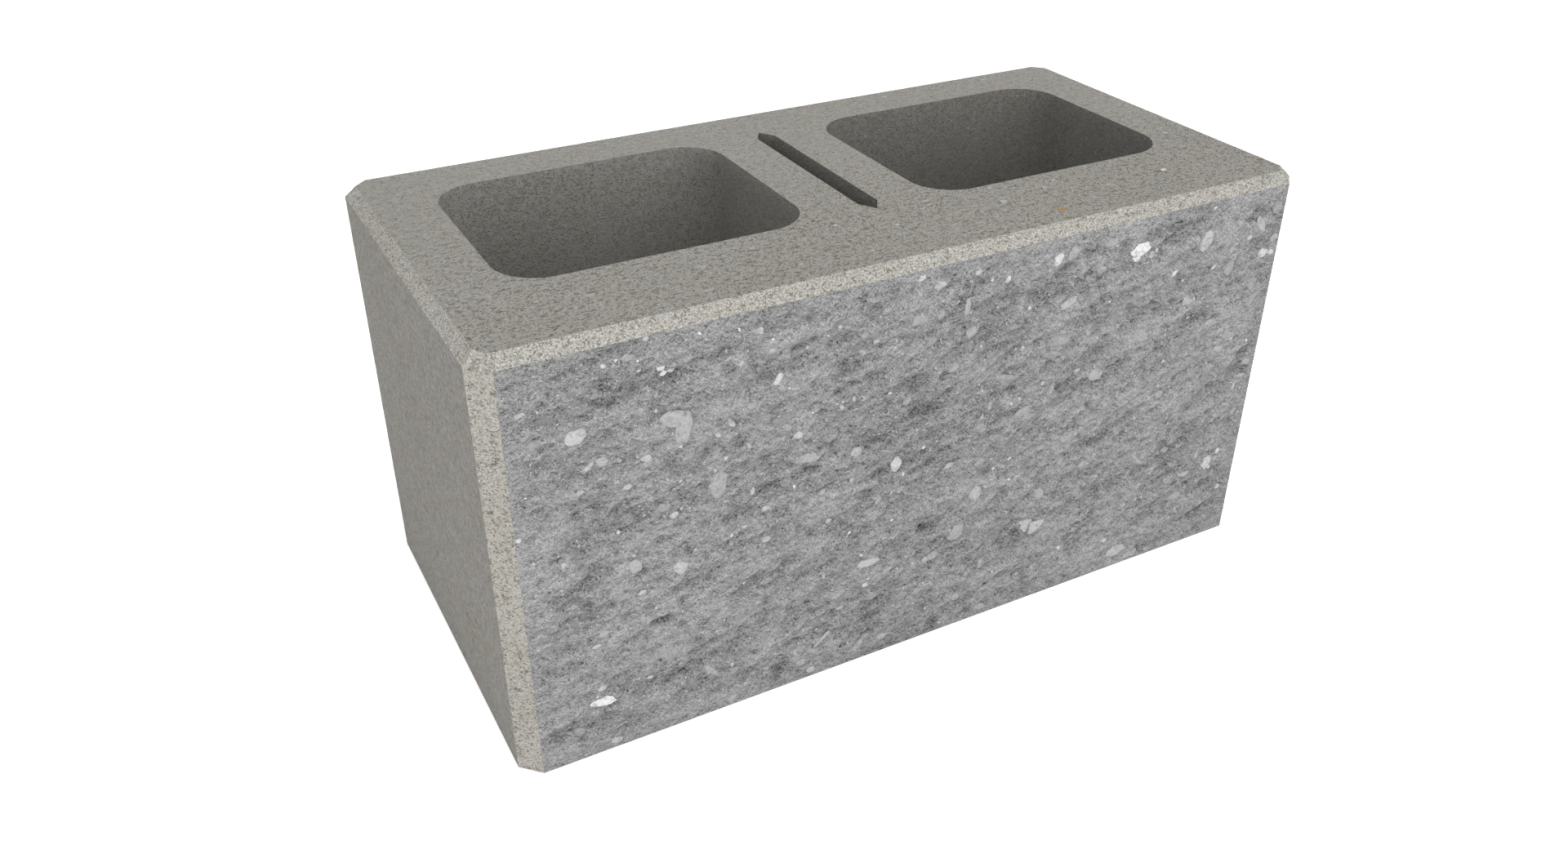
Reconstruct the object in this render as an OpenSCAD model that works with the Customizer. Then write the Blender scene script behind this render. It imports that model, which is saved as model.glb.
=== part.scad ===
// Hollow concrete block with one split face.
// The block stands on its bed with its bevelled edge up and its split face towards -Y.
// The origin is in the middle of the bed. Sizes are in millimetres.

/* [Block] */
// Length, along the wall
block_length = 400; // [300:1:600]
// Width, from the split face to the back
block_width = 200; // [150:1:300]
// Height
block_height = 200; // [100:1:300]

/* [Edges] */
// Bevel round the top edge, the same across and down
top_bevel = 5; // [1:0.5:10]
// Bevel on the four upright corners, measured along each face
corner_bevel = 8.5; // [6:0.5:20]

/* [Cores] */
// Wall between the split face and the cores, at the top
split_wall = 55; // [30:1:70]
// Wall between the cores and the back, at the top
back_wall = 32; // [20:1:50]
// Wall between a core and its end of the block, at the top
end_wall = 32; // [20:1:50]
// Web between the two cores, at the top
centre_web = 60; // [40:1:90]
// Corner radius of a core, at the top
core_radius = 21; // [10:1:30]
// Draft of each core wall, from the top to the bed
core_draft = 2; // [0.5:0.5:5]

/* [Splitting slot] */
// Width of the slot in the centre web
slot_width = 10; // [5:0.5:16]
// Length of each pointed end of the slot
slot_point = 8; // [3:0.5:15]

/* [Hidden] */
$fn = 96;
// How far the cutting shapes run past the faces that they cut
overrun = 10;
core_length = (block_length - centre_web) / 2 - end_wall;
core_width = block_width - split_wall - back_wall;
core_offset = (centre_web + core_length) / 2;
core_middle = (split_wall - back_wall) / 2;
// Draft for each millimetre of height
draft_rate = core_draft / block_height;

// Plan of the block: a rectangle with its corners cut off at 45 degrees
module block_plan() {
    x = block_length / 2;
    y = block_width / 2;
    cut = corner_bevel;
    polygon([
        [-x + cut, -y], [x - cut, -y], [x, -y + cut], [x, y - cut],
        [x - cut, y], [-x + cut, y], [-x, y - cut], [-x, -y + cut]
    ]);
}

// Cutter for the bevel along one top edge, whose side lies at a distance from the middle of the block
module edge_bevel(distance, angle, run) {
    rotate(angle)
        translate([distance, run / 2, block_height])
            rotate([90, 0, 0])
                linear_extrude(run)
                    polygon([
                        [-top_bevel - overrun, overrun],
                        [overrun, -top_bevel - overrun],
                        [overrun, overrun]
                    ]);
}

// Cutters for the bevel all the way round the top, over the four sides and the four corners
module top_bevels() {
    run = block_length + block_width;
    corner_distance = (block_length / 2 + block_width / 2 - corner_bevel) / sqrt(2);
    for (turn = [0, 180]) {
        edge_bevel(block_length / 2, turn, run);
        edge_bevel(block_width / 2, turn + 90, run);
    }
    for (turn = [45 : 90 : 315])
        edge_bevel(corner_distance, turn, run);
}

// Slab across a core along X, between its two round corners: its end walls lean in towards the bed
module core_slab(length, width) {
    low = -overrun;
    high = block_height + overrun;
    top_half = length / 2 + draft_rate * overrun;
    bed_half = length / 2 - core_draft - draft_rate * overrun;
    translate([0, width / 2, 0])
        rotate([90, 0, 0])
            linear_extrude(width)
                polygon([[-bed_half, low], [bed_half, low], [top_half, high], [-top_half, high]]);
}

// One tapered core: two crossing slabs with a cone in each corner
module core() {
    straight_length = core_length - 2 * core_radius;
    straight_width = core_width - 2 * core_radius;
    core_slab(core_length, straight_width);
    rotate(90)
        core_slab(core_width, straight_length);
    for (x = [-1, 1], y = [-1, 1])
        translate([x * straight_length / 2, y * straight_width / 2, -overrun])
            cylinder(
                h = block_height + 2 * overrun,
                r1 = core_radius - core_draft - draft_rate * overrun,
                r2 = core_radius + draft_rate * overrun
            );
}

// Slot in the centre web, as long as the cores are wide, with a point at each end that starts the split
module splitting_slot() {
    half = slot_width / 2;
    tip = core_width / 2;
    shoulder = tip - slot_point;
    translate([0, core_middle, -overrun])
        linear_extrude(block_height + 2 * overrun)
            polygon([
                [0, -tip], [half, -shoulder], [half, shoulder],
                [0, tip], [-half, shoulder], [-half, -shoulder]
            ]);
}

module concrete_block() {
    color("#94938c")
        difference() {
            linear_extrude(block_height)
                block_plan();
            top_bevels();
            for (side = [-1, 1])
                translate([side * core_offset, core_middle, 0])
                    core();
            splitting_slot();
        }
}

concrete_block();
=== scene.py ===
# %% [markdown]
# # A split-face concrete block
#
# The block is one casting. Most of its faces were pressed against a steel mould, so they are flat and
# sandy. One long face was broken off afterwards: there the paste is rough, and the stones in it lie open.
# The packed CAD model gives the true size and the true edges. This file copies that shape, gives the
# broken face its relief and its stones, and then makes the finish of each kind of surface.

# %% Load the packed block
import math
import random

import bmesh
import bpy
from mathutils import Matrix, Vector, kdtree, noise


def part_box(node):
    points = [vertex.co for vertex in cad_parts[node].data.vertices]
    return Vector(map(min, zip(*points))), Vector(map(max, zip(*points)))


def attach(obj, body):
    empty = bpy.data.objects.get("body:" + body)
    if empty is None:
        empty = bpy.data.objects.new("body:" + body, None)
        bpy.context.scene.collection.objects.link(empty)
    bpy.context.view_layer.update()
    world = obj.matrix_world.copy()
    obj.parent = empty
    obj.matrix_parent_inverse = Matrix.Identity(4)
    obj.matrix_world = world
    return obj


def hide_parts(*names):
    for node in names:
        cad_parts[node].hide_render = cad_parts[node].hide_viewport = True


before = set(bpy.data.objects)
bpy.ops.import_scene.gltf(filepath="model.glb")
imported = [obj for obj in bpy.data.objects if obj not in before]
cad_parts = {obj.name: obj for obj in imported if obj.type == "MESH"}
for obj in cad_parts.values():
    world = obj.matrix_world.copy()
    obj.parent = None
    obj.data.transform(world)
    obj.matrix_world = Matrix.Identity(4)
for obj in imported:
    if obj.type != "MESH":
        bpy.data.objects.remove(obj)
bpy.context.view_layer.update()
NODE = "concrete_block"
MM = 0.001
low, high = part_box(NODE)
print("CAD box in mm:", [round(size / MM, 1) for size in high - low])

# %% [markdown]
# ## The camera
#
# A camera that stands where the photographer stood makes the render and the photograph lie over each other.
# Its place, tilt and lens were solved from the straight edges of the block, whose sizes are known.
# The lens is written in pixels of the photograph, and Blender wants it in millimetres on a sensor.

# %% Stand the camera where the photograph was taken from
PHOTO_WIDTH = 1920
FOCAL_LENGTH_IN_PIXELS = 1643.4
SENSOR_WIDTH = 36.0
CAMERA_PLACE = (-0.2960, -0.5111, 0.4233)
CAMERA_DIP = 31.149
CAMERA_TURN = 28.184

lens = bpy.data.cameras.new("photo_camera")
lens.sensor_width = SENSOR_WIDTH
lens.lens = FOCAL_LENGTH_IN_PIXELS / PHOTO_WIDTH * SENSOR_WIDTH
camera = bpy.data.objects.new("photo_camera", lens)
camera.location = CAMERA_PLACE
camera.rotation_euler = (math.radians(90 - CAMERA_DIP), 0, math.radians(-CAMERA_TURN))
bpy.context.scene.collection.objects.link(camera)
bpy.context.scene.camera = camera
print("lens in mm:", round(lens.lens, 2))

# %% [markdown]
# ## A clean copy of the casting
#
# The CAD mesh is loose triangles. A copy of it is welded, and flat neighbours are joined into one face
# each, so that every side and every bevel of the block is a plain face that can be cut into a net.
# Each face then gets a zone: what it is on the real block. New faces that come from cutting keep the zone.

# %% Weld the copy and join its flat triangles
WELD = 0.00001
FLAT_ANGLE = math.radians(0.4)

block = bmesh.new()
block.from_mesh(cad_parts[NODE].data)
bmesh.ops.remove_doubles(block, verts=block.verts, dist=WELD)
bmesh.ops.dissolve_limit(block, angle_limit=FLAT_ANGLE, verts=block.verts, edges=block.edges)
print("faces of the welded block:", len(block.faces))

# %% Say which part of the block each face is
ZONES = ("bed", "side", "core", "split", "front_bevel", "top_bevel", "corner_facet", "corner")
THINNEST_WALL = 0.02
ALONG = 0.99
ACROSS = 0.3

zone = block.faces.layers.int.new("zone")


def zone_of(face):
    normal = face.normal
    centre = face.calc_center_median()
    inside = abs(centre.x) < high.x - THINNEST_WALL and abs(centre.y) < high.y - THINNEST_WALL
    if abs(normal.z) > ALONG:
        return "bed"
    if inside:
        return "core"
    if abs(normal.x) > ALONG or normal.y > ALONG:
        return "side"
    if normal.y < -ALONG:
        return "split"
    if abs(normal.z) < ACROSS:
        return "corner"
    if abs(normal.x) > ACROSS and abs(normal.y) > ACROSS:
        return "corner_facet"
    return "front_bevel" if normal.y < -ACROSS else "top_bevel"


def faces_in(*names):
    wanted = {ZONES.index(name) for name in names}
    return [face for face in block.faces if face[zone] in wanted]


for face in block.faces:
    face[zone] = ZONES.index(zone_of(face))
print({name: len(faces_in(name)) for name in ZONES})

# %% [markdown]
# ## A fine net on the broken face and the bevels
#
# Relief needs points to move. The broken face gets cells of about a millimetre, and so do the bevels
# beside it, while the flat cast faces need far fewer. Cutting two opposite edges of a face into equal parts
# makes a ladder, and cutting the rungs of the ladder makes a net. Neighbours share the cut edges, so the
# block stays closed. The cast faces are sliced by planes instead, because the cores make them uneven.

# %% Cut ladders
FINE_CELL = 1.06 * MM
BEVEL_CELL = 1.8 * MM
LEVEL = 0.001


def slope_of(edge):
    start, end = edge.verts
    return abs((end.co - start.co).normalized().z)


def level(edge):
    return slope_of(edge) < LEVEL


def upright(edge):
    return slope_of(edge) > 1 - LEVEL


def sloping(edge):
    return not level(edge) and not upright(edge)


def cut_ladder(faces, kind, cell):
    edges = list(dict.fromkeys(edge for face in faces for edge in face.edges if kind(edge)))
    longest = max(edge.calc_length() for edge in edges)
    bmesh.ops.subdivide_edges(block, edges=edges, cuts=round(longest / cell) - 1, use_grid_fill=True)


cut_ladder(faces_in("front_bevel", "top_bevel", "corner_facet"), sloping, FINE_CELL)
cut_ladder(faces_in("split", "front_bevel"), level, FINE_CELL)
for side in (Vector((-1, 0, 0)), Vector((1, 0, 0)), Vector((0, 1, 0))):
    one_side = [face for face in faces_in("top_bevel") if face.normal.dot(side) > ACROSS]
    cut_ladder(one_side, level, BEVEL_CELL)
for x_side in (-1, 1):
    for y_side in (-1, 1):
        one_corner = [
            face
            for face in faces_in("corner", "corner_facet")
            if face.normal.x * x_side > 0 and face.normal.y * y_side > 0
        ]
        cut_ladder(one_corner, level, FINE_CELL)
front_corners = [face for face in faces_in("corner") if face.normal.y < 0]
back_corners = [face for face in faces_in("corner") if face.normal.y > 0]
cut_ladder(faces_in("split") + front_corners, upright, FINE_CELL)
cut_ladder(back_corners, upright, BEVEL_CELL)
print("cells on the broken face:", len(faces_in("split")))

# %% Cut the cast faces and the cores into wide cells
CAST_CELL = 8 * MM
SNAP = 0.2 * MM


def slice_along(axis):
    direction = Vector((0, 0, 0))
    direction[axis] = 1
    steps = round((high[axis] - low[axis]) / CAST_CELL)
    for step in range(1, steps):
        faces = faces_in("bed", "side", "core")
        edges = list(dict.fromkeys(edge for face in faces for edge in face.edges))
        points = list(dict.fromkeys(point for face in faces for point in face.verts))
        bmesh.ops.bisect_plane(
            block,
            geom=faces + edges + points,
            dist=SNAP,
            plane_co=low + direction * step * CAST_CELL,
            plane_no=direction,
        )


for axis in range(3):
    slice_along(axis)
print("faces of the block:", len(block.faces))

# %% [markdown]
# ## The stones that lie open on the broken face
#
# Each row is one stone as it shows on the block: its middle along the length and above the bed, its length
# and width, how far it is turned, and its tone. Tone 0 is as dark as the paste, 1 is white, and below 0 is
# darker. The list comes before the relief, because the paste has to lie a little below each stone.

# %% Stones, in millimetres and degrees
STONES = (
    (-164, 160, 9.4, 8, 20, 0.58), (-123.3, 156.6, 13, 6.6, -15, 0.38), (-120.2, 151.2, 14, 6.6, 78, 0.38),
    (-105.5, 121, 14, 9, 75, 0.3), (-154.5, 147, 5, 4.5, 0, 0.4), (-160, 146, 6, 2, 38, 0.35),
    (-136, 142.5, 5.5, 3, -20, 0.5), (-145, 132, 4.5, 3, 15, 0.5), (-165, 136.5, 3, 2, 10, 0.4),
    (-128, 180, 3, 2, 0, 0.8), (-127, 177.3, 3, 2.5, 20, 0.75), (-123.6, 177.6, 3, 2.5, 0, 0.5),
    (-137, 181.5, 1.8, 1.5, 0, 0.8), (-151, 187, 2.2, 1.6, 0, 0.7), (-146, 188, 1.8, 1.2, 0, 0.7),
    (-190, 121.5, 2.2, 2, 0, 0.7), (-133.5, 194, 2.6, 2, 0, 0.4), (-141, 188, 5, 3.2, 0, 0.3),
    (-126, 112, 3.6, 2.6, 20, 0.5), (-174, 105, 2.6, 2, 60, 0.5), (-118, 128.5, 2.6, 1.4, 0, 0.5),
    (-105.5, 144.5, 3, 2, -45, 0.6), (-102.5, 111, 2.6, 2, 0, 0.5), (-180, 161, 6, 4, 0, 0.22),
    (-184, 175, 4, 1.8, 10, 0.4), (-131, 117.5, 7, 4, 0, 0.2), (-175, 170, 8, 4, -10, -0.12),
    (-78.5, 163, 6, 3.2, 66, 0.7), (-99, 147.5, 4.2, 2.6, -50, 0.55), (-86.5, 186, 3, 2.6, -30, 0.5),
    (-95, 174.5, 3.2, 1.6, 20, 0.6), (-82, 177, 2.2, 1.8, 0, 0.45), (-65, 173, 1.6, 1.4, 0, 0.55),
    (-69.5, 134, 4.2, 4, 20, 0.55), (-49.5, 142, 2.8, 1.7, -50, 0.5), (-92.5, 136, 3.2, 1.4, -60, 0.4),
    (-65, 121, 12, 4.4, -4, 0.34), (-41, 117, 5.4, 5, -30, 0.42), (-90, 111.5, 5, 2.6, 80, 0.5),
    (-84.5, 102.5, 4.2, 2.6, 10, 0.42), (-19.5, 103.5, 9.5, 6, 84, 0.7), (-12, 191.5, 4.4, 2, 22, 0.6),
    (-3, 186.5, 5.8, 3, 0, 0.42), (-12.5, 173, 9, 5, 0, 0.25), (-2, 173, 5, 4.6, 0, 0.28),
    (-5.5, 161.5, 5, 4, 0, 0.3), (-16, 135, 5, 4, 20, 0.3), (-32.8, 168, 3.2, 1.6, 0, 0.4),
    (-57, 101, 4, 3, 0, 0.4), (-43, 103.5, 2.4, 2, 80, 0.4), (-77, 143.5, 9, 5, 5, 0.04),
    (58, 185.5, 6.8, 5, 70, 0.75), (66, 186, 7, 6, 80, 0.32), (31.3, 182, 3.2, 2.6, 80, 0.72),
    (16.5, 188, 3.8, 2.6, 15, 0.45), (23.5, 183, 1.8, 1.5, 0, 0.55), (12.3, 172.5, 9, 3.2, 80, 0.35),
    (15.5, 160, 7, 5.6, -10, 0.34), (66.5, 162.5, 9.4, 4.6, 25, 0.44), (87.5, 187, 8, 4, 0, 0.28),
    (7.5, 145, 5.4, 3.6, 10, 0.4), (43, 146, 2.6, 2.2, 0, 0.45), (64.5, 145, 8, 5, -8, 0.22),
    (77, 125.5, 3.6, 3, 10, 0.42), (88, 121, 9.4, 7, -15, 0.36), (28.5, 120.5, 6, 3, 85, 0.24),
    (62.5, 119.5, 8.5, 4, 65, 0.28), (46, 112.5, 10, 4, 20, 0.24), (67, 112, 11, 4, 3, -0.1),
    (35, 133.5, 10, 2.6, -14, 0.18), (24.8, 115.5, 2.6, 1.6, 80, 0.45), (96, 194, 3, 2, 0, 0.4),
    (104.8, 180.2, 10, 7.4, 2, 0.95), (103.6, 176.4, 5.4, 4.6, -60, 0.95), (112, 175.8, 3.6, 3, 80, 0.45),
    (115.2, 177.2, 2.6, 1.8, 75, 0.6), (143.5, 176.5, 10, 7.4, 55, 0.5), (126, 164, 4.4, 1.8, 38, 0.8),
    (176.8, 178, 10.5, 4, -64, 0.42), (170.5, 173, 3.2, 2.4, 60, 0.5), (163.8, 170.3, 3, 1.4, 12, 0.8),
    (183, 162.3, 6.4, 5.6, 20, 0.7), (188, 161.5, 4, 3.6, 0, 0.6), (152, 161.5, 4, 1.8, 36, 0.55),
    (163.5, 158, 9, 6.4, 75, 0.3), (138, 147.3, 6.6, 4.6, -42, 0.4), (142.3, 147, 2.2, 1.4, 85, 0.7),
    (156.5, 131, 8, 4, 0, 0.32), (164, 115.5, 8, 4, -18, 0.35), (171.6, 119.6, 3.6, 2.6, 70, 0.65),
    (188, 184, 9, 7, 0, 0.2), (188.5, 169, 5, 4.6, 0, 0.32), (111, 115, 2.2, 2, 0, 0.4),
    (187, 102.5, 6, 4, 0, 0.32), (162, 168, 4.2, 3, 70, 0.3),
    (-144, 93.5, 6.4, 6, 30, 0.36), (-124.2, 85.5, 7.6, 7, 80, 0.5), (-162.5, 28, 13.4, 5.4, -3, 1.0),
    (-163, 36, 4.4, 2.6, 12, 0.5), (-141.8, 78.5, 3.2, 2, 5, 0.55), (-158, 3.8, 6, 4.2, -10, 0.42),
    (-163.5, 59.3, 3.6, 1.8, 0, 0.5), (-140.8, 32.5, 2.6, 1.6, 0, 0.5), (-112.5, 24.5, 11, 3.4, -52, 0.3),
    (-132, 43.5, 14, 5, -20, 0.18), (-174, 15, 6, 5, -30, 0.22), (-102.5, 4, 5, 3.6, 30, 0.32),
    (-118.5, 10.5, 2.8, 1.8, 80, 0.35), (-160, 64.5, 5, 3, 20, 0.3),
    (-33.5, 56, 11.6, 4.6, -3, 0.5), (-48.5, 43, 8.4, 3.4, 12, 0.34), (-84.5, 86, 5, 3.6, -10, 0.44),
    (-45.7, 33.8, 4, 2.6, 0, 0.45), (-35, 44.3, 2.8, 1.8, 0, 0.55), (-37, 61.5, 1.7, 1.5, 0, 0.6),
    (-53.5, 84.5, 2.8, 2.4, 30, 0.42), (-84, 62.5, 7, 4.2, 12, 0.26), (-28.8, 88, 5.4, 2.8, 62, 0.34),
    (-17.5, 90, 4, 3, 60, 0.28), (-62, 4.3, 5, 4.4, -20, 0.42), (-67.5, 11.5, 6, 4.4, 10, 0.3),
    (-57, 21, 9.6, 2, 38, 0.34), (-94.5, 96, 2.6, 1.7, 10, 0.5), (-22.5, 48, 6, 3, 25, 0.28),
    (-37, 8.5, 7.4, 3.8, 45, 0.28), (-23.5, 9, 6, 3, 10, 0.25), (-1.5, 45, 4, 3.2, 60, 0.4),
    (24.5, 74.5, 9.6, 8, 75, 0.42), (58, 44.8, 11, 7.6, -35, 0.5), (62.5, 43.5, 10, 6.6, 28, 0.48),
    (63, 61.5, 9, 6, 82, 0.3), (15, 56, 9, 8.4, 40, 0.28), (8.5, 94.5, 5, 2.8, 10, 0.44),
    (88.5, 31, 6.6, 3.6, -8, 0.36), (78.5, 25, 2.5, 2, -30, 0.72), (17, 17.5, 5, 3.6, -15, 0.32),
    (31.5, 31.5, 6, 3, 80, 0.26), (3, 46, 6, 5, 20, 0.34), (73.5, 77, 4.2, 3.6, 20, 0.26),
    (86.5, 72, 4.4, 4, 0, 0.26), (85, 57, 6, 5, 0, 0.18), (33, 5, 7, 4.4, -15, 0.26),
    (5.5, 66.5, 7.4, 5, 5, -0.2), (43, 22, 8.4, 3.6, 5, -0.25), (28.7, 77.7, 2.8, 1.1, -40, 0.5),
    (118.3, 8.6, 14.4, 7.2, 5, 0.46), (127.5, 2.9, 11, 4, 8, 0.34), (121.5, 64.5, 12, 2.2, -46, 0.34),
    (153.5, 31.8, 9.4, 4, 0, 0.34), (171, 47, 8.4, 6, 70, 0.6), (173.6, 43.5, 2, 1.8, 0, 0.7),
    (178, 52.3, 2.8, 2.2, 75, 0.72), (184.5, 27, 3.4, 3, 0, 0.58),
    (156, 44.5, 6.4, 2.6, 5, 0.34), (108.3, 19.3, 2.4, 2.2, 0, 0.64),
    (180.7, 89.5, 5.4, 2, 84, 0.52), (125.5, 39, 3.2, 2.6, -30, 0.42), (184.5, 74, 6.4, 3.8, 60, 0.28),
    (131, 98, 5.4, 5, 0, 0.3), (185, 94.5, 5, 2.2, 0, 0.3), (127.5, 81, 4.4, 4, 0, 0.26),
    (145, 44, 5.4, 5, 0, 0.2), (142, 62.5, 5, 3, 0, 0.22), (162.5, 54.5, 4.4, 3, 70, 0.28),
)
print("stones chosen by hand:", len(STONES))

# %% [markdown]
# ## The relief of the broken face
#
# A block is split by a blade, and the break runs in flat steps and scoops that lean to one side. The large
# scoops are listed, because they give this face its character. Between them, stretched noise makes the
# streaks of the break, and finer noise makes the crumbs and grains. All of it fades out at the border, where
# the face meets the bevels in straight lines. A tree of places finds the few rows that are near a point, so
# that no point has to be compared with every scoop and stone.

# %% Scoops, in millimetres and degrees: middle, length, width, turn and depth
SCOOPS = (
    (-122, 173, 26, 15, 10, 1.7), (-43, 160, 36, 10, 14, 2.2), (-13, 144, 22, 8, 5, 2.2),
    (-10, 128.5, 24, 7, 4, 1.6), (37, 174, 12, 11, 20, 2.4), (49, 171, 12, 8, 20, 1.4),
    (66, 180, 26, 9, 10, 1.3), (118, 189, 28, 9, 8, 1.5), (-98, 137, 20, 11, 15, 1.4),
    (-52, 138, 28, 8, 8, 1.3), (-160, 96, 22, 9, 12, 1.8), (-139, 90, 8, 9, 60, 2.2),
    (-134, 62, 13, 4.6, 18, 3.0), (0, 64, 16, 11, 15, 2.1), (-17, 60, 18, 9, 10, 1.4),
    (-91, 65, 24, 16, 25, 1.3), (-183, 17, 17, 13, 35, 2.4), (-77, 8, 18, 13, 30, 2.0),
    (6, 4, 11, 9, 20, 1.9), (88, 133, 22, 11, 10, 1.5), (85.5, 105, 12, 3.6, -45, 2.8),
    (30, 115, 24, 11, 10, 1.3), (144, 137, 38, 11, 5, 1.8), (79, 66, 22, 10, 10, 1.4),
    (165, 67, 22, 8, 5, 1.6), (139, 60.5, 18, 4, -5, 2.2), (30, 42, 54, 14, 8, 1.0),
    (-20, 33, 44, 12, 10, 1.0), (90, 36, 16, 6, 10, 1.5), (-63, 116, 18, 6, -3, 2.2),
    (-95, 104, 24, 8, 10, 1.2), (92, 3, 10, 9, 10, 1.8), (175, 35, 16, 8, 5, 1.4),
    (189, 88, 10, 14, 60, 1.3), (183, 110, 24, 7, 5, 1.5), (128, 36, 9, 7, 20, 2.0),
    (38, 137, 34, 9, 8, 1.2), (-168, 76, 22, 9, 8, 1.2), (-176, 51, 14, 7, 10, 1.3),
    (134, 6, 12, 8, 10, 1.6), (184, 177, 12, 9, 15, 1.4), (12, 15, 10, 7, 15, 1.4),
)
print("scoops chosen by hand:", len(SCOOPS))

# %% Find the scoops and stones near a point
def finder(rows):
    tree = kdtree.KDTree(len(rows))
    for number, row in enumerate(rows):
        tree.insert((row[0], row[1], 0), number)
    tree.balance()
    return tree


def squared_reach(x, z, row):
    """How far a point lies from the middle of a scoop or stone: 1 on its outline, less inside."""
    middle_x, middle_z, long, wide, turn = row[:5]
    cosine, sine = math.cos(math.radians(turn)), math.sin(math.radians(turn))
    along = (x - middle_x) * cosine + (z - middle_z) * sine
    across = (z - middle_z) * cosine - (x - middle_x) * sine
    return (2 * along / long) ** 2 + (2 * across / wide) ** 2


scoop_finder = finder(SCOOPS)
stone_finder = finder(STONES)
print("rows to look up:", len(SCOOPS) + len(STONES))

# %% Work out how rough the break is at a point
HALF = 0.5
SCOOP_REACH = 34
SCOOP_STEEP, SCOOP_SHARE = 1.5, 0.85
RAGGED_SIZE, RAGGED_REACH, RAGGED_SHARE = 8, 5, 0.4
BREAK_LEAN = math.radians(14)
STREAK_LENGTH, STREAK_WIDTH, STREAK_HEIGHT = 36, 11, 1.9
CRAG_LENGTH, CRAG_WIDTH, CRAG_HEIGHT = 16, 5.5, 2.8
CRUMB_LENGTH, CRUMB_WIDTH, CRUMB_HEIGHT = 4.8, 2.6, 1.0
GRAIN_SIZE, GRAIN_HEIGHT = 1.7, 0.4
# Noise fills space, so each kind of roughness takes a slice of its own.
STREAK_SLICE, CRAG_SLICE, CRUMB_SLICE, GRAIN_SLICE = 1, 4, 6, 8
OTHER_SLICE = Vector((0, 0, 7))
# A fractal is told how fast its finer waves weaken, how much finer each one is, and how many there are.
STREAK_FRACTAL, CRUMB_FRACTAL = (0.8, 2.1, 3), (0.9, 2.0, 2)
CRAG_WAVES = 3


def scoop_depth(x, z):
    spot = Vector((x / RAGGED_SIZE, z / RAGGED_SIZE, 0))
    ragged_x = noise.noise(spot)
    ragged_z = noise.noise(spot + OTHER_SLICE)
    depth = 0
    for place, number, distance in scoop_finder.find_range((x, z, 0), SCOOP_REACH):
        scoop = SCOOPS[number]
        wide, deep = scoop[3], scoop[5]
        ragged = min(RAGGED_REACH, RAGGED_SHARE * wide)
        inside = max(0, 1 - squared_reach(x + ragged * ragged_x, z + ragged * ragged_z, scoop))
        depth = max(depth, deep * inside ** SCOOP_STEEP)
    return depth


def leaning(x, z):
    """Distances along and across the direction in which the break runs."""
    along = x * math.cos(BREAK_LEAN) + z * math.sin(BREAK_LEAN)
    across = z * math.cos(BREAK_LEAN) - x * math.sin(BREAK_LEAN)
    return along, across


def rough_height(x, z):
    along, across = leaning(x, z)
    streak_place = Vector((along / STREAK_LENGTH, across / STREAK_WIDTH, STREAK_SLICE))
    crag_place = Vector((along / CRAG_LENGTH, across / CRAG_WIDTH, CRAG_SLICE))
    streak = noise.fractal(streak_place, *STREAK_FRACTAL)
    crag = HALF - noise.turbulence(crag_place, CRAG_WAVES, True)
    return STREAK_HEIGHT * streak + CRAG_HEIGHT * crag - SCOOP_SHARE * scoop_depth(x, z)


def crumb_height(x, z):
    along, across = leaning(x, z)
    crumb_place = Vector((along / CRUMB_LENGTH, across / CRUMB_WIDTH, CRUMB_SLICE))
    crumb = noise.fractal(crumb_place, *CRUMB_FRACTAL)
    grain = noise.noise(Vector((x / GRAIN_SIZE, z / GRAIN_SIZE, GRAIN_SLICE)))
    return CRUMB_HEIGHT * crumb + GRAIN_HEIGHT * grain


print("deepest scoop in mm:", round(max(scoop_depth(scoop[0], scoop[1]) for scoop in SCOOPS), 2))

# %% Hold the paste below the stones, and fade the relief at the border
SEAT_DEPTH = 0.2
STONE_REACH = 12
HOLD_LEVEL, HOLD_FALL = 1.7, 1.2
HOLLOW_FADE = 5
PROUD_FADE = 16

depth_layer = block.verts.layers.float.new("depth")
crevice_layer = block.verts.layers.float.new("crevice")
scoop_layer = block.verts.layers.float.new("scoop")
split_faces = faces_in("split")
split_points = list(dict.fromkeys(point for face in split_faces for point in face.verts))
left = min(point.co.x for point in split_points) / MM
right = max(point.co.x for point in split_points) / MM
top = max(point.co.z for point in split_points) / MM
seats = [rough_height(stone[0], stone[1]) for stone in STONES]


def at_border(height, x, z):
    """Fades a height out at the border: slowly where it is proud, so that the outline stays straight."""
    border = min(x - left, right - x, top - z, z)
    return height * min(1, border / (PROUD_FADE if height > 0 else HOLLOW_FADE))


def relief(x, z):
    height = rough_height(x, z) + crumb_height(x, z)
    for place, number, distance in stone_finder.find_range((x, z, 0), STONE_REACH):
        hold = max(0, min(1, HOLD_LEVEL - HOLD_FALL * squared_reach(x, z, STONES[number])))
        height += hold * (seats[number] - SEAT_DEPTH - height)
    return at_border(height, x, z)


print("points on the broken face:", len(split_points))

# %% Move the points of the broken face
for point in split_points:
    x, z = point.co.x / MM, point.co.z / MM
    height = relief(x, z)
    point.co.y -= height * MM
    point[depth_layer] = -height
    point[crevice_layer] = -crumb_height(x, z)
    point[scoop_layer] = scoop_depth(x, z)
heights = [-point[depth_layer] for point in split_points]
print("relief in mm:", round(min(heights), 2), "to", round(max(heights), 2))

# %% [markdown]
# ## Worn bevels
#
# The bevels come out of the mould a little open: grains have fallen out, and the edges are rubbed.
# Moving their points in and out by a fraction of a millimetre, by noise that follows the grains, makes that
# wear real, and it also takes the ruler-straight look off the edges of the top. The points where a bevel
# meets a flat face move less, and those on the floor stay where they are.

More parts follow.
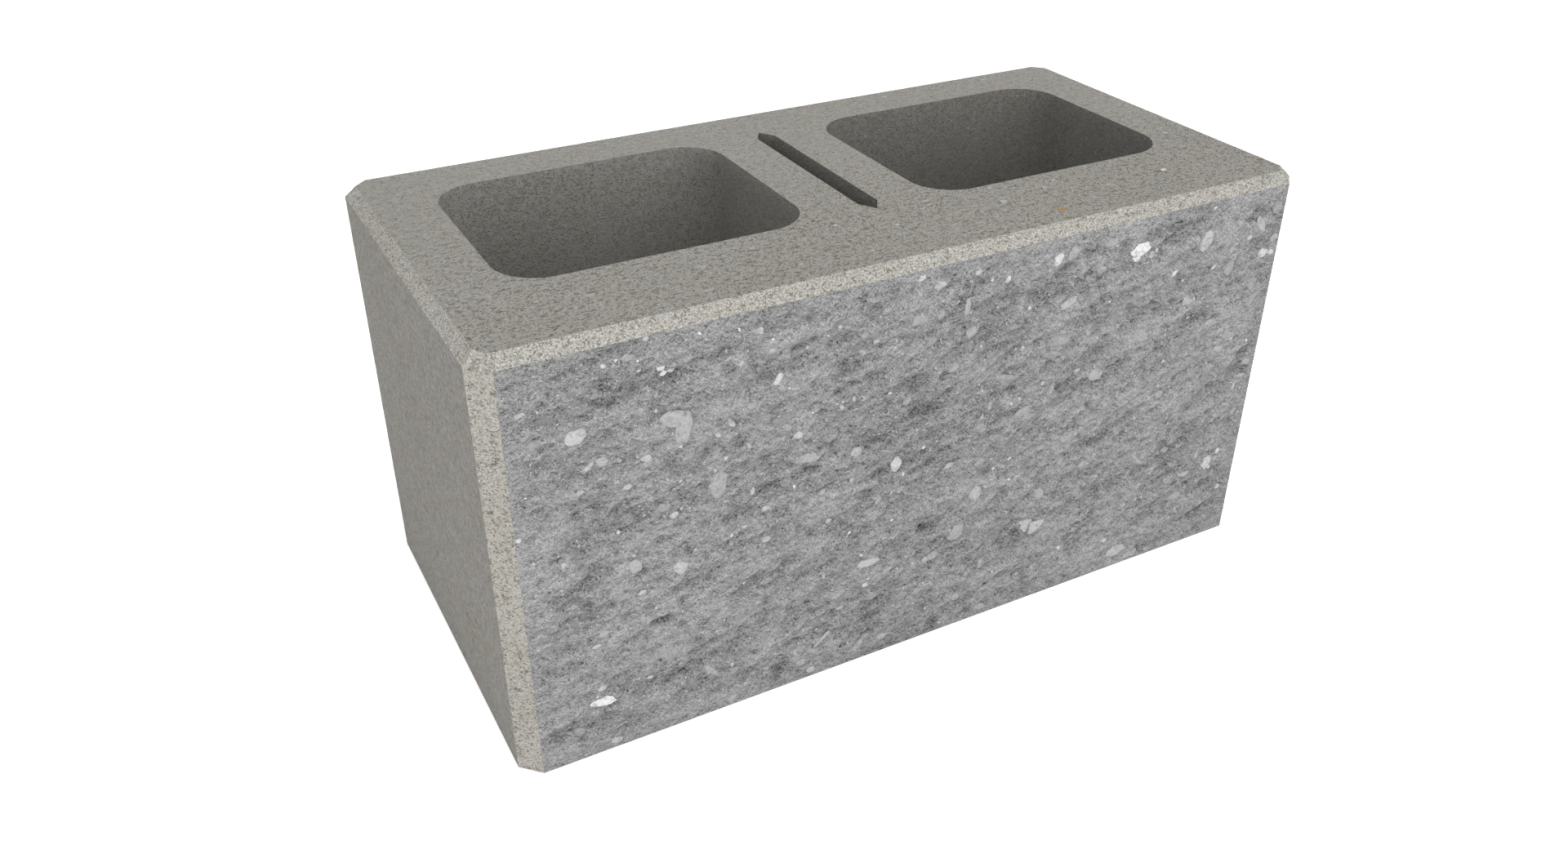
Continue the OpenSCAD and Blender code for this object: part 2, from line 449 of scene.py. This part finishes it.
# %% Wear the bevels
WEAR_SIZE, WEAR_FRACTAL = 2.1, (0.8, 2.0, 2)
WEAR_DEPTH = 0.22
EDGE_SHARE = 0.3

block.normal_update()
bevel_faces = faces_in("front_bevel", "top_bevel", "corner_facet", "corner")
bevel_zones = {face[zone] for face in bevel_faces}
bevel_points = list(dict.fromkeys(point for face in bevel_faces for point in face.verts))
wear_moves = []
for point in bevel_points:
    on_edge = any(face[zone] not in bevel_zones for face in point.link_faces)
    wear = noise.fractal(point.co / MM / WEAR_SIZE, *WEAR_FRACTAL)
    share = EDGE_SHARE if on_edge else 1
    if point.co.z > low.z + WELD:
        wear_moves.append((point, point.normal * wear * share * WEAR_DEPTH * MM))
for point, move in wear_moves:
    point.co += move
print("points on the bevels:", len(bevel_points))

# %% [markdown]
# ## One object for the block
#
# The net becomes a mesh with a slot for the finish of each zone. Shading is smooth, as on a rubbed surface,
# but it breaks where two zones meet, so that the edges of the casting stay crisp. The broken face is smooth
# all over, because its facets come from the net and not from the concrete.

# %% Make the block an object
SLOT_OF_ZONE = {"bed": 0, "side": 1, "core": 2, "split": 4, "corner": 5}
BEVEL_SLOT = 3
CREASE = math.radians(40)

for face in block.faces:
    face.smooth = True
    face.material_index = SLOT_OF_ZONE.get(ZONES[face[zone]], BEVEL_SLOT)
for edge in block.edges:
    zones = {face[zone] for face in edge.link_faces}
    edge.smooth = len(zones) == 1 and edge.calc_face_angle(0) < CREASE
for face in split_faces:
    for edge in face.edges:
        if all(neighbour[zone] == face[zone] for neighbour in edge.link_faces):
            edge.smooth = True
block.normal_update()
triangles = sum(len(face.verts) - 2 for face in block.faces)
open_edges = sum(not edge.is_manifold for edge in block.edges)
block_mesh = bpy.data.meshes.new("cast_block")
block.to_mesh(block_mesh)
block.free()
cast_block = bpy.data.objects.new("cast_block", block_mesh)
bpy.context.scene.collection.objects.link(cast_block)
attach(cast_block, "root")
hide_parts(NODE)
print("triangles of the block:", triangles, "open edges:", open_edges)

# %% [markdown]
# ## Stones
#
# A stone is a ball of triangles that is broken by a few flat cuts, as a crusher breaks gravel, and then
# squashed. It sits in the paste with a little of its back showing. Small stones are made a little larger
# and paler than their rows say, because they would get lost between the crumbs. Small chips are scattered
# between the listed stones by a random generator with a fixed seed, so that every run gives the same face.
# A few pale grains also lie in the top of the block, almost flush with it.

# %% Break a pebble out of a ball
STONE_SEED = 11
STONE_THICKNESS = 0.42
STOPS_THICKENING = 5.0
STONE_SUNK = 0.3
SHOWING_SHARE = 0.896
CUT_LOW, CUT_HIGH, CUT_TILT = 0.32, 0.45, 0.25
RAGGED_STONE, RAGGED_STEP = 0.16, 3.2
FAR = 50

stones = bmesh.new()
stones.verts.layers.float.new("tone")
chance = random.Random(STONE_SEED)


def add_stone(seat, long, wide, turn, tone, detail, cuts, sunk=STONE_SUNK):
    """Adds one stone. The matrix seat says where it sits, and its -Y is the way out of the concrete."""
    stone = bmesh.new()
    tones = stone.verts.layers.float.new("tone")
    bmesh.ops.create_icosphere(stone, subdivisions=detail, radius=HALF)
    for number in range(cuts):
        angle = chance.uniform(0, 2 * math.pi)
        tilt = chance.uniform(-CUT_TILT, CUT_TILT)
        way = Vector((math.cos(angle), tilt, math.sin(angle))).normalized()
        made = bmesh.ops.bisect_plane(
            stone,
            geom=list(stone.verts) + list(stone.edges) + list(stone.faces),
            plane_co=way * chance.uniform(CUT_LOW, CUT_HIGH),
            plane_no=way,
            clear_outer=True,
        )
        rim = [part for part in made["geom_cut"] if isinstance(part, bmesh.types.BMEdge)]
        if rim:
            bmesh.ops.contextual_create(stone, geom=rim)
    shift = Vector((chance.uniform(0, FAR), chance.uniform(0, FAR), chance.uniform(0, FAR)))
    for point in stone.verts:
        point.co *= 1 + RAGGED_STONE * noise.noise(point.co * RAGGED_STEP + shift)
    thick = STONE_THICKNESS * min(wide, STOPS_THICKENING)
    # A sunk ball shows less than its full width, so it is made wider.
    share = SHOWING_SHARE / math.sqrt(1 - (2 * sunk) ** 2)
    size = Vector((long * share, thick, wide * share)) * MM
    turned = Matrix.Rotation(math.radians(-turn), 3, "Y")
    lay = Matrix.LocRotScale((0, sunk * thick * MM, 0), turned, size)
    bmesh.ops.transform(stone, matrix=seat @ lay, verts=stone.verts)
    bmesh.ops.triangulate(stone, faces=stone.faces)
    for point in stone.verts:
        point[tones] = tone
    for face in stone.faces:
        face.smooth = True
    made_mesh = bpy.data.meshes.new("one_stone")
    stone.to_mesh(made_mesh)
    stone.free()
    stones.from_mesh(made_mesh)
    bpy.data.meshes.remove(made_mesh)


print("random seed of the stones:", STONE_SEED)

# %% Set the listed stones
SMALL_STONE, CLEANER, SHOWS_MORE = 3.1, 0.06, 1.14
COARSE_BALL, FINE_BALL = 2, 3
FEWEST_CUTS, MOST_CUTS = 3, 6


def seat_on_break(x, z, height):
    return Matrix.Translation((x * MM, low.y - height * MM, z * MM))


for row, height in zip(STONES, seats):
    x, z, long, wide, turn, tone = row
    seat = seat_on_break(x, z, at_border(height, x, z))
    small = wide < SMALL_STONE
    clean = CLEANER if small else 0
    show = SHOWS_MORE if small else 1
    ball = COARSE_BALL if small else FINE_BALL
    cuts = chance.randint(FEWEST_CUTS, MOST_CUTS)
    add_stone(seat, long * show, wide * show, turn, tone + clean, ball, cuts)
print("triangles of the listed stones:", len(stones.faces))

# %% Scatter small chips, set pale grains in the top and join all stones in one piece
CHIPS = 700
CHIP_SMALL, CHIP_LARGE = 0.8, 2.8
CHIP_NARROW, CHIP_ROUND = 0.5, 0.95
CHIP_MARGIN = 3
CHIP_TONE, CHIP_DULL = 0.9, 1.6
CHIP_BALL, CHIP_CUTS = 1, 0
HALF_TURN = 180
FACING_UP = Matrix.Rotation(math.radians(-90), 4, "X")
FLUSH_SUNK = 0.42
MOST_GRAIN_CUTS = 5
TOP_GRAINS = (
    (142.7, -67.7, 4, 3, 20, 0.75), (53.7, -64.4, 5, 4, 0, 0.42), (57.5, -48, 4, 3, 0, 0.42),
    (23, -48, 3.5, 2.5, 0, 0.4), (22.5, -52, 4, 2, 0, 0.42), (-2.2, -64.6, 3, 2, 0, 0.6),
    (-25.6, -52.8, 2, 2.5, 0, 0.5), (-25, -82.5, 2, 1.5, 0, 0.5), (17, -55, 3, 2, 0, 0.35),
    (80, -59, 4, 2.5, 10, 0.4), (89.4, -54, 3, 2, 10, 0.4), (108, -70, 3, 2, 0, 0.42),
    (-94, -64, 6, 2.5, 5, 0.32), (-68, -57.5, 5, 3, 0, 0.3), (-101, -85, 6, 3, 5, 0.32),
    (-162.5, -63, 3, 2, 0, 0.35), (-142, -67.6, 6, 2.6, 10, 0.28), (40.6, -77.8, 3, 1.5, 0, 0.35),
    (-57.5, -80.6, 3, 2, 0, 0.35), (86, 88, 4, 3, 0, 0.42), (151, 88, 4, 3, 0, 0.42),
    (179, -28, 4, 3, 0, 0.4),
)

for number in range(CHIPS):
    x = chance.uniform(left + CHIP_MARGIN, right - CHIP_MARGIN)
    z = chance.uniform(CHIP_MARGIN, top - CHIP_MARGIN)
    long = chance.uniform(CHIP_SMALL, CHIP_LARGE)
    wide = long * chance.uniform(CHIP_NARROW, CHIP_ROUND)
    tone = CHIP_TONE * chance.random() ** CHIP_DULL
    turn = chance.uniform(0, HALF_TURN)
    add_stone(seat_on_break(x, z, relief(x, z)), long, wide, turn, tone, CHIP_BALL, CHIP_CUTS)
for x, y, long, wide, turn, tone in TOP_GRAINS:
    seat = Matrix.Translation((x * MM, y * MM, high.z)) @ FACING_UP
    cuts = chance.randint(FEWEST_CUTS, MOST_GRAIN_CUTS)
    add_stone(seat, long, wide, turn, tone, COARSE_BALL, cuts, FLUSH_SUNK)
stone_mesh = bpy.data.meshes.new("aggregate_stones")
stones.to_mesh(stone_mesh)
print("triangles of all stones:", len(stones.faces))
stones.free()
aggregate_stones = bpy.data.objects.new("aggregate_stones", stone_mesh)
bpy.context.scene.collection.objects.link(aggregate_stones)
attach(aggregate_stones, "root")

# %% [markdown]
# ## Sums on sockets
#
# A finish is a sum of patterns, and sums are easier to read as Python than as a web of nodes. A Value wraps
# a socket, so that `1 - mask` adds the Math node for it. A Web holds the nodes of one material or of the
# world: its node method adds any node by its type, with its settings first and then its sockets. A Finish
# is the web of a material, and a few short methods name the patterns in use.

# %% Wrap sockets
class Value:
    """A socket that Python can do sums with."""

    def __init__(self, web, socket):
        self.web = web
        self.socket = socket

    def sum(self, operation, first, second):
        return self.web.node("ShaderNodeMath", {"operation": operation}, {0: first, 1: second})

    def __add__(self, other):
        return self.sum("ADD", self, other)

    def __radd__(self, other):
        return self.sum("ADD", other, self)

    def __sub__(self, other):
        return self.sum("SUBTRACT", self, other)

    def __rsub__(self, other):
        return self.sum("SUBTRACT", other, self)

    def __mul__(self, other):
        return self.sum("MULTIPLY", self, other)

    def __rmul__(self, other):
        return self.sum("MULTIPLY", other, self)

    def __pow__(self, other):
        return self.sum("POWER", self, other)

    def __or__(self, other):
        return self.sum("MAXIMUM", self, other)

    def __abs__(self):
        return self.sum("ABSOLUTE", self, 0)


print("sums on sockets:", [name for name in vars(Value) if name.startswith("__")])

# %% Wrap node trees
BACKDROP_RAYS = ("Is Camera Ray", "Is Glossy Ray", "Is Transmission Ray")


class Web:
    """The nodes of a material or of the world, added one call at a time."""

    def __init__(self, owner):
        owner.use_nodes = True
        self.owner = owner
        self.tree = owner.node_tree
        self.tree.nodes.clear()

    def node(self, kind, settings, sockets, output=0):
        made = self.tree.nodes.new(kind)
        for name, setting in settings.items():
            setattr(made, name, setting)
        for key, value in sockets.items():
            if isinstance(value, Value):
                self.tree.links.new(value.socket, made.inputs[key])
            else:
                made.inputs[key].default_value = value
        return Value(self, made.outputs[output]) if len(made.outputs) else made

    def shows_backdrop(self):
        """1 on a ray that the camera sees, straight, mirrored or through glass, and 0 on any other."""
        rays = [self.node("ShaderNodeLightPath", {}, {}, ray) for ray in BACKDROP_RAYS]
        straight, mirrored, through = rays
        return straight | mirrored | through


print("rays that show the backdrop:", BACKDROP_RAYS)

# %% Wrap materials
MATT = 0.93
SHINE = 0.2
SPOT_OUTSIDE, SPOT_INSIDE = 1.2, 0.7
# How many finer waves ride on a grain of noise, and how strong they are as a rule.
ROUND, KNOBBLY, CRUMBLY, CLOUDY = 0, 1, 2, 3
EVEN = 0.5


class Finish(Web):
    """A material. Its grains are drawn out along some directions by the shares in lie."""

    def __init__(self, name, lie=(1, 1, 1)):
        super().__init__(bpy.data.materials.new(name))
        self.lie = lie
        self.place = self.node("ShaderNodeTexCoord", {}, {}, "Object")

    def grains(self, size, detail=CRUMBLY, rough=EVEN, draw=1, drop=0):
        """Noise with grains of a size in millimetres. A higher draw makes them longer, drop lowers them."""
        scale = [1 / (size * MM * share ** draw) for share in self.lie]
        sockets = {"Vector": self.place, "Scale": scale, "Location": (0, 0, drop)}
        place = self.node("ShaderNodeMapping", {}, sockets)
        sockets = {"Vector": place, "Scale": 1, "Detail": detail, "Roughness": rough}
        return self.node("ShaderNodeTexNoise", {}, sockets)

    def along(self, axis):
        return self.node("ShaderNodeSeparateXYZ", {}, {"Vector": self.place}, axis)

    def mask(self, value, start, end):
        sockets = {"Value": value, "From Min": start, "From Max": end}
        return self.node("ShaderNodeMapRange", {"interpolation_type": "SMOOTHSTEP"}, sockets)

    def spot(self, middle, size, wobble):
        """1 inside a round spot with a ragged rim, which has a middle and a size in millimetres."""
        sockets = {
            "Vector": self.place,
            "Location": [share * MM for share in middle],
            "Scale": [share / 2 * MM for share in size],
        }
        near = self.node("ShaderNodeMapping", {"vector_type": "TEXTURE"}, sockets)
        reach = self.node("ShaderNodeVectorMath", {"operation": "LENGTH"}, {0: near}, "Value")
        return self.mask(reach + wobble, SPOT_OUTSIDE, SPOT_INSIDE)

    def attribute(self, name):
        return self.node("ShaderNodeAttribute", {"attribute_name": name}, {}, "Fac")

    def shade(self, colour, tone):
        return self.node("ShaderNodeVectorMath", {"operation": "SCALE"}, {0: colour, "Scale": tone})

    def add(self, first, second):
        return self.node("ShaderNodeVectorMath", {"operation": "ADD"}, {0: first, 1: second})

    def mix(self, factor, first, second):
        """Mixes two colours. A Mix node has each name several times, so its sockets are told by number."""
        sockets = {0: factor, 6: first, 7: second}
        return self.node("ShaderNodeMix", {"data_type": "RGBA"}, sockets, 2)

    def surface(self, colour, height):
        """Ends the material: a Principled shader with a colour, and a bump with its height in mm."""
        bump = self.node("ShaderNodeBump", {}, {"Height": height, "Distance": MM})
        sockets = {"Base Color": colour, "Normal": bump, "Roughness": MATT, "Specular IOR Level": SHINE}
        shader = self.node("ShaderNodeBsdfPrincipled", {}, sockets)
        self.node("ShaderNodeOutputMaterial", {}, {"Surface": shader})
        return self.owner


print("patterns of a finish:", [name for name in vars(Finish) if not name.startswith("__")])

# %% [markdown]
# ## Cast concrete
#
# A cast face is fine sand in warm grey cement. From close by there are a few things to see: grains that are
# a little lighter or darker, pits and short level cracks that are brown inside and painted darker as shade,
# faint brown stains, and here and there a pale grain. One function makes the finish for the flat faces, the
# cores, the bevels and the upright corners, because they differ only in how pale and how open they are, and
# in the painted shade that darkens the walls of the right core. A grain that is lighter is also less warm,
# so light and dark aren't plain shades of one colour. The larger pits are listed where the block has them.

# %% Larger pits on the top and on the left end, in millimetres: middle and size
TOP_PITS = (
    (139, -68, 200, 4.4, 2.8, 2), (-140, -65.5, 200, 6, 1.6, 2), (-67.5, -60, 200, 7, 1.7, 2),
    (67, -93, 200, 4.6, 1.7, 2), (192.5, -79, 200, 4.4, 2.4, 2), (22.5, -50, 200, 3.4, 1.7, 2),
    (152, -49.4, 200, 3.4, 2.2, 2), (131, -54.6, 200, 4.4, 1.7, 2), (117, -68.4, 200, 3.4, 1.7, 2),
    (87.5, -50.9, 200, 3.4, 1.7, 2), (113.5, -90, 200, 2.4, 2.2, 2), (53.7, -68.4, 200, 3.4, 1.4, 2),
    (42, -70.4, 200, 3.6, 1.4, 2), (-26, -50.6, 200, 2.2, 3, 2), (-16, -62, 200, 3.4, 2.2, 2),
    (-33.7, -74.4, 200, 5, 2.8, 2), (-177.5, -65, 200, 2.4, 2.2, 2), (-75, -69.5, 200, 2.4, 2.2, 2),
)
END_PITS = (
    (-200, -50.5, 50.5, 2, 3.4, 2.4), (-200, -38.5, 30.5, 2, 5, 2.4), (-200, 4, 90, 2, 3.4, 2.4),
    (-200, 16.5, 80, 2, 3, 2), (-200, 22, 65, 2, 8, 1.6), (-200, 11, 47, 2, 3.4, 2.4),
    (-200, -36, 43, 2, 9, 2.2), (-200, -92, 61, 2, 3, 2), (-200, -14, 133, 2, 3, 2),
)
TAN_SPOT = (70.5, -84, 200, 4.8, 3.6, 2)
print("larger pits:", len(TOP_PITS) + len(END_PITS))

# %% Finish for the flat faces, the cores, the bevels and the corners
# Pits and cracks are brown inside, and their dark colour is also painted shade.
PIT_BROWN_AND_SHADE = (0.15, 0.09, 0.04, 1)
PALE_COLOUR = (0.56, 0.55, 0.52, 1)
TAN_COLOUR = (0.38, 0.24, 0.09, 1)
STAIN_COLOUR = (0.29, 0.25, 0.19, 1)
LIGHTER = (0.94, 1.0, 1.1)
CLOUD_SIZE, CLOUD_SHARE = 70, 0.14
SAND_SIZE, SAND_ROUGH, SAND_BUMP = 0.6, 0.6, 0.2
LUMP_SIZE = 2.6
WARMER, WARM_SIZE = (0.05, 0.005, -0.05), 1.8
# An edge is the pair of noise values between which a pattern goes from none to full.
STAIN_SIZE, STAIN_EDGE = 9, (0.45, 0.7)
PIT_EDGE = (0.57, 0.68)
CRACK_SIZE, CRACK_DRAW, CRACK_EDGE = 0.95, 3.5, (0.01, 0.05)
GATE_SIZE, GATE_EDGE = 2.2, (0.52, 0.62)
PALE_SIZE, PALE_EDGE, PALE_SHARE = 1.5, (0.7, 0.78), 0.5
WOBBLE_SIZE, WOBBLE = 1.3, 1.6
HOLE_SHARE, HOLLOW_BUMP = 0.6, 0.5
BACK_STRIP, FRONT_STRIP = 60 * MM, -70 * MM
RIGHT_FROM, RIGHT_TO = -30 * MM, 30 * MM
ALONG_BLOCK = (1.25, 1, 1)
ALONG_LEVEL = (1.25, 1.25, 1)


def cast_concrete(
    name, lie, colour, sand, lumps, pit_size, pits, cracks, stains, front=0, painted_right_shade=0, holes=(), tan=()
):
    finish = Finish(name, lie)
    openness = 1
    if front:
        openness = 1 + front * (finish.mask(finish.along("Y"), BACK_STRIP, FRONT_STRIP) - HALF)
    fine = finish.grains(SAND_SIZE, CRUMBLY, SAND_ROUGH) - HALF
    rough = sand * fine + lumps * (finish.grains(LUMP_SIZE) - HALF)
    tone = CLOUD_SHARE * (finish.grains(CLOUD_SIZE, CLOUDY) - HALF) + rough
    ground = finish.add(colour, finish.shade([share * colour[1] for share in LIGHTER], tone))
    ground = finish.add(ground, finish.shade(WARMER, finish.grains(WARM_SIZE) - HALF))
    # Painted shade: the walls of the right core are painted darker than those of the left core.
    if painted_right_shade:
        ground = finish.shade(ground, 1 - painted_right_shade * finish.mask(finish.along("X"), RIGHT_FROM, RIGHT_TO))
    stain = stains * finish.mask(finish.grains(STAIN_SIZE, CLOUDY), *STAIN_EDGE)
    stained = finish.mix(stain, ground, STAIN_COLOUR)
    pit = pits * openness * finish.mask(finish.grains(pit_size, KNOBBLY), *PIT_EDGE)
    level_grains = finish.grains(CRACK_SIZE, KNOBBLY, draw=CRACK_DRAW)
    line = 1 - finish.mask(abs(level_grains - HALF), *CRACK_EDGE)
    crack = cracks * openness * line * finish.mask(finish.grains(GATE_SIZE, KNOBBLY), *GATE_EDGE)
    hollow = pit | crack
    if holes or tan:
        wobble = WOBBLE * (finish.grains(WOBBLE_SIZE) - HALF)
    for hole in holes:
        hollow = hollow | HOLE_SHARE * finish.spot(hole[:3], hole[3:], wobble)
    pale = PALE_SHARE * finish.mask(finish.grains(PALE_SIZE, KNOBBLY), *PALE_EDGE)
    speckled = finish.mix(pale, finish.mix(hollow, stained, PIT_BROWN_AND_SHADE), PALE_COLOUR)
    if tan:
        speckled = finish.mix(finish.spot(tan[:3], tan[3:], wobble), speckled, TAN_COLOUR)
    return finish.surface(speckled, SAND_BUMP * sand * fine - HOLLOW_BUMP * hollow)


bed_faces = cast_concrete(
    "bed_faces", ALONG_BLOCK, (0.332, 0.3245, 0.2995), sand=1.05, lumps=0.3, pit_size=0.75,
    pits=0.4, cracks=0.6, stains=0.1, front=0.65, holes=TOP_PITS, tan=TAN_SPOT,
)
side_faces = cast_concrete(
    "side_faces", ALONG_LEVEL, (0.281, 0.2755, 0.257), sand=0.7, lumps=0.7, pit_size=1.6,
    pits=0.35, cracks=0.3, stains=0.3, holes=END_PITS,
)
# The walls of the right core get painted shade, which darkens them.
core_walls = cast_concrete(
    "core_walls", ALONG_LEVEL, (0.31, 0.305, 0.284), sand=1.15, lumps=0.4, pit_size=1.0,
    pits=0.42, cracks=0.3, stains=0.1, painted_right_shade=0.23,
)
worn_bevels = cast_concrete(
    "worn_bevels", ALONG_LEVEL, (0.428, 0.418, 0.386), sand=2.4, lumps=0.1, pit_size=0.75,
    pits=0.4, cracks=0.6, stains=0.1,
)
worn_corners = cast_concrete(
    "worn_corners", ALONG_LEVEL, (0.431, 0.418, 0.383), sand=1.5, lumps=0.25, pit_size=0.85,
    pits=0.42, cracks=0.8, stains=0.15,
)
cast_finishes = (bed_faces, side_faces, core_walls, worn_bevels, worn_corners)
print("cast finishes:", [finish.name for finish in cast_finishes])

# %% [markdown]
# ## Broken concrete
#
# The broken face is cement paste torn open: neutral grey, with fine crumbs, dark specks and bright points
# of quartz. The relief left three values on each point: how deep it lies, how far down between crumbs it
# is, and how deep a listed scoop is there. All three darken the paste, because little light gets into a
# hollow. The grains are too fine for the net, so their light is painted: a noise minus the same noise a
# little lower is pale on the upper side of each grain and dark under it, as if lit from above.

# %% Finish for the broken face
BREAK_COLOUR, BREAK_LEVEL = (0.27, 0.27, 0.27), 1.26
BREAK_SAND = {"size": 0.62, "detail": CRUMBLY, "rough": 0.7, "draw": -1.5}
BREAK_CRUMBS = {"size": 1.8, "detail": CRUMBLY, "rough": 0.6, "draw": -1.5}
SAND_DROP, CRUMB_DROP = 0.4, 0.35
SAND_TONE, CRUMB_TONE, RAISED_TONE = 1.5, 0.45, 1.4
SPECK_SIZE, SPECK_EDGE, SPECK_TONE = 0.95, (0.36, 0.3), 0.26
GLINT_SIZE, GLINT_EDGE, GLINT_SHARE = 1.1, (0.74, 0.8), 0.6
GLINT_COLOUR = (0.62, 0.62, 0.62, 1)
PATCH_SIZE, PATCH_DRAW, PATCH_TONE = 8, 4, 0.65
BROAD_SIZE, BROAD_TONE = 45, 0.6
MIDDLE_EDGE, MIDDLE_TONE = (110 * MM, 40 * MM), 0.06
DEPTH_EDGE, DEPTH_TONE = (-2.6, 3.2), 0.5
CREVICE_TONE, SCOOP_TONE = 0.23, 0.038
SAND_HEIGHT, CRUMBS_HEIGHT, SPECK_DEPTH = 0.35, 0.3, 0.2


def broken_concrete():
    finish = Finish("broken_face", ALONG_BLOCK)
    depth = finish.attribute("depth")
    crevice = finish.attribute("crevice")
    scoop = finish.attribute("scoop")
    sand = finish.grains(**BREAK_SAND)
    crumbs = finish.grains(**BREAK_CRUMBS)
    patches = finish.grains(PATCH_SIZE, CLOUDY, draw=PATCH_DRAW)
    broad = finish.grains(BROAD_SIZE, draw=0)
    specks = finish.mask(finish.grains(SPECK_SIZE, ROUND), *SPECK_EDGE)
    glints = finish.mask(finish.grains(GLINT_SIZE, ROUND, draw=0), *GLINT_EDGE)
    raised = sand - finish.grains(**BREAK_SAND, drop=SAND_DROP)
    raised = raised + crumbs - finish.grains(**BREAK_CRUMBS, drop=CRUMB_DROP)
    grain = SAND_TONE * (sand - HALF) + CRUMB_TONE * (crumbs - HALF) + RAISED_TONE * raised
    grain = grain - SPECK_TONE * specks
    stain = PATCH_TONE * (patches - HALF) + BROAD_TONE * (broad - HALF)
    middle = finish.mask(abs(finish.along("X")), *MIDDLE_EDGE)
    shade = DEPTH_TONE * finish.mask(depth, *DEPTH_EDGE) + CREVICE_TONE * crevice + SCOOP_TONE * scoop ** 2
    tone = BREAK_LEVEL + grain + stain - shade - MIDDLE_TONE * middle
    lit = finish.mix(GLINT_SHARE * glints, finish.shade(BREAK_COLOUR, tone), GLINT_COLOUR)
    return finish.surface(lit, SAND_HEIGHT * sand + CRUMBS_HEIGHT * crumbs - SPECK_DEPTH * specks)


broken_face = broken_concrete()
for material in (bed_faces, side_faces, core_walls, worn_bevels, broken_face, worn_corners):
    cast_block.data.materials.append(material)
print("materials of the block:", len(cast_block.data.materials))

# %% [markdown]
# ## The finish of the stones
#
# The stones are gravel of many tones, with mottled faces and cement dust on their backs. Each stone carries
# its tone as an attribute, so that one finish serves them all. The tones were chosen as the eye sees them,
# and a power turns them into amounts of light.

# %% Finish for the stones
STONE_COLOUR = (0.92, 0.92, 0.92)
PASTE_TONE, TONE_RANGE = 0.55, 0.37
MOTTLE_SIZE, MOTTLE_ROUGH, MOTTLE_SHARE, MOTTLE_BUMP = 1.1, 0.6, 0.28, 0.12
DUST_SIZE, DUST_EDGE, DUST_SHARE = 2.4, (0.5, 0.64), 0.35
EYE_TO_LIGHT = 2.2


def stone_finish():
    finish = Finish("pale_stones")
    tone = finish.attribute("tone")
    mottle = finish.grains(MOTTLE_SIZE, CRUMBLY, MOTTLE_ROUGH)
    dust = finish.mask(finish.grains(DUST_SIZE), *DUST_EDGE)
    bright = PASTE_TONE + TONE_RANGE * tone * (1 - DUST_SHARE * dust) + MOTTLE_SHARE * (mottle - HALF)
    colour = finish.shade(STONE_COLOUR, bright ** EYE_TO_LIGHT)
    return finish.surface(colour, MOTTLE_BUMP * mottle)


aggregate_stones.data.materials.append(stone_finish())
print("materials of the stones:", len(aggregate_stones.data.materials))

# %% [markdown]
# ## Stage and light
#
# The floor is a plain white sheet, and the world is an even white dome, so a colour renders about as it is
# written. The camera sees the floor as pure white, while other rays see it a little darker, as a studio
# sheet is. A soft box above and three in front and to the left give the bevels, the broken face and the
# left end their light.

# %% Floor and world
FLOOR_HALF = 4.0
FLOOR_DROP = 0.2 * MM
FLOOR_BOUNCE = 0.92
FLOOR_GLOW = 0.55
DOME = 0.55

sheet = bmesh.new()
bmesh.ops.create_grid(sheet, x_segments=1, y_segments=1, size=FLOOR_HALF)
bmesh.ops.translate(sheet, verts=sheet.verts, vec=(0, 0, low.z - FLOOR_DROP))
floor_mesh = bpy.data.meshes.new("floor")
sheet.to_mesh(floor_mesh)
sheet.free()
floor = bpy.data.objects.new("floor", floor_mesh)
bpy.context.scene.collection.objects.link(floor)

paper = Web(bpy.data.materials.new("white_paper"))
matt = paper.node("ShaderNodeBsdfDiffuse", {}, {"Color": (FLOOR_BOUNCE, FLOOR_BOUNCE, FLOOR_BOUNCE, 1)})
glow = paper.node("ShaderNodeEmission", {}, {"Strength": FLOOR_GLOW * paper.shows_backdrop()})
paper_shader = paper.node("ShaderNodeAddShader", {}, {0: matt, 1: glow})
paper.node("ShaderNodeOutputMaterial", {}, {"Surface": paper_shader})
floor.data.materials.append(paper.owner)

studio = Web(bpy.data.worlds.new("studio"))
dome_strength = DOME + (1 - DOME) * studio.shows_backdrop()
dome = studio.node("ShaderNodeBackground", {}, {"Color": (1, 1, 1, 1), "Strength": dome_strength})
studio.node("ShaderNodeOutputWorld", {}, {"Surface": dome})
bpy.context.scene.world = studio.owner
bpy.context.scene.view_settings.view_transform = "Standard"
print("dome strength:", DOME)

# %% Soft boxes: name, place, point that it faces, width, height and watts
SOFT_BOXES = (
    ("overhead_box", (0.05, -0.4, 2.0), (0, -0.05, 0), 1.0, 1.0, 14),
    ("front_box", (0.2, -1.5, 0.68), (0, 0, 0.2), 1.0, 0.8, 6),
    ("low_front_box", (-0.35, -1.5, 0.145), (0, 0, 0.145), 1.6, 0.26, 5),
    ("low_left_box", (-1.5, -0.1, 0.145), (0, 0, 0.145), 1.2, 0.26, 3),
)


def soft_box(name, place, target, width, height, power):
    lamp = bpy.data.lights.new(name, "AREA")
    lamp.shape = "RECTANGLE"
    lamp.size = width
    lamp.size_y = height
    lamp.energy = power
    box = bpy.data.objects.new(name, lamp)
    box.location = place
    box.rotation_euler = (Vector(target) - Vector(place)).to_track_quat("-Z", "Y").to_euler()
    box.visible_camera = False
    bpy.context.scene.collection.objects.link(box)


for box in SOFT_BOXES:
    soft_box(*box)
print("lamps:", [lamp.name for lamp in bpy.data.lights])

# %% [markdown]
# ## The sizes
#
# The relief and the stones stand a little proud of the CAD solid.
